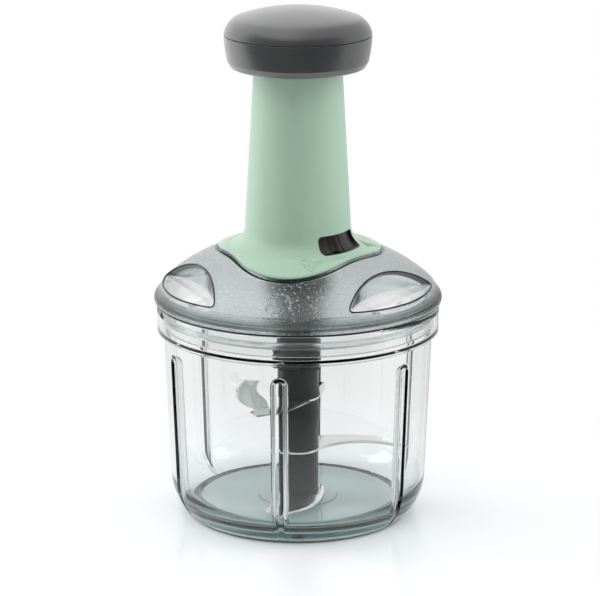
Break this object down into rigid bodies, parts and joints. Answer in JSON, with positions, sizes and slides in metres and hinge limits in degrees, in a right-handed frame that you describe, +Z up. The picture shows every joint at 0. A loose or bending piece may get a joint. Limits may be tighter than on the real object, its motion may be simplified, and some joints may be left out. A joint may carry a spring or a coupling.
{
  "type": "push-down food chopper",
  "caption": "Press-knob food chopper: clear ribbed bowl, sickle blades on a dark column, domed lid with finger scoops, flared mint handle column with a lock, wide grey knob.",
  "frame": {"origin": "centre of the base ring's underside, where the chopper stands", "axes": "+Z up along the blade column and the handle, -Y towards the front, with the lock slider on the front right"},
  "size_m": [0.1352, 0.1352, 0.2412],
  "materials": {
    "clear_bowl": "clear, glossy, faintly grey green",
    "frosted_lid": "smoke grey, lightly frosted, with clear scoops",
    "clear_cover": "clear, glossy",
    "mint_plastic": "mint green, satin",
    "grey_plastic": "dark grey, satin",
    "dark_plastic": "charcoal, satin",
    "white_plastic": "natural white, low friction plastic",
    "steel": "polished stainless steel",
    "screw_steel": "zinc plated steel",
    "spring_steel": "drawn spring wire",
    "silicone": "translucent grey silicone"
  },
  "bodies": {
    "bowl": {"bowl": "clear_bowl", "base_ring": "silicone", "centre_pin": "steel"},
    "blades": {"blade_shaft": "dark_plastic", "foot_sleeve": "dark_plastic", "lower_sleeve": "dark_plastic", "middle_sleeve": "dark_plastic", "upper_sleeve": "dark_plastic", "lower_blade": "steel", "middle_blade": "steel", "upper_blade": "steel"},
    "seal": {"lid_gasket": "silicone"},
    "lid": {"lid_shell": "frosted_lid", "inner_cover": "clear_cover", "column_shell": "mint_plastic", "top_bush": "white_plastic", "drive_housing": "dark_plastic", "bearing_cap": "white_plastic", "housing_screws": "screw_steel", "upper_washer": "white_plastic", "lower_washer": "white_plastic", "return_spring": "spring_steel"},
    "lock": {"lock_slider": "dark_plastic"},
    "knob": {"knob_cap": "grey_plastic", "knob_skirt": "grey_plastic", "plunger_tube": "grey_plastic", "rod_holder": "dark_plastic", "spiral_rod": "steel", "rod_pin": "steel", "knob_screws": "screw_steel"},
    "nut": {"drive_nut": "white_plastic", "clutch_spring": "spring_steel"},
    "clutch": {"clutch_ring": "white_plastic"},
    "socket": {"drive_socket": "dark_plastic"}
  },
  "joints": [
    {"name": "lid_lift", "type": "slide", "parent": "bowl", "child": "seal", "axis": [0, 0, 1], "range_m": [0, 0.1]},
    {"name": "lid_turn", "type": "hinge", "parent": "seal", "child": "lid", "pos_m": [0, 0, 0], "axis": [0, 0, 1], "range_deg": [0, 25]},
    {"name": "knob_press", "type": "slide", "parent": "lid", "child": "knob", "axis": [0, 0, 1], "range_m": [0, 0.045], "deforming": ["return_spring"]},
    {"name": "lock_slide", "type": "hinge", "parent": "lid", "child": "lock", "pos_m": [0, 0, 0], "axis": [0, 0, 1], "range_deg": [0, 12]},
    {"name": "nut_spin", "type": "hinge", "parent": "lid", "child": "nut", "pos_m": [0, 0, 0], "axis": [0, 0, 1], "range_deg": [-545, 1]},
    {"name": "clutch_lift", "type": "slide", "parent": "nut", "child": "clutch", "axis": [0, 0, 1], "range_m": [0, 0.0014], "stiffness_N_per_m": 150, "springref_m": -0.004, "deforming": ["clutch_spring"]},
    {"name": "socket_spin", "type": "hinge", "parent": "lid", "child": "socket", "pos_m": [0, 0, 0], "axis": [0, 0, 1], "range_deg": [-545, 1]},
    {"name": "blade_spin", "type": "hinge", "parent": "bowl", "child": "blades", "pos_m": [0, 0, 0], "axis": [0, 0, 1], "range_deg": [-545, 1]}
  ],
  "couplings": [
    {"joint": "nut_spin", "follows": "knob_press", "rad_per_m": -209.44},
    {"joint": "socket_spin", "follows": "knob_press", "rad_per_m": -209.44},
    {"joint": "blade_spin", "follows": "knob_press", "rad_per_m": -209.44}
  ]
}
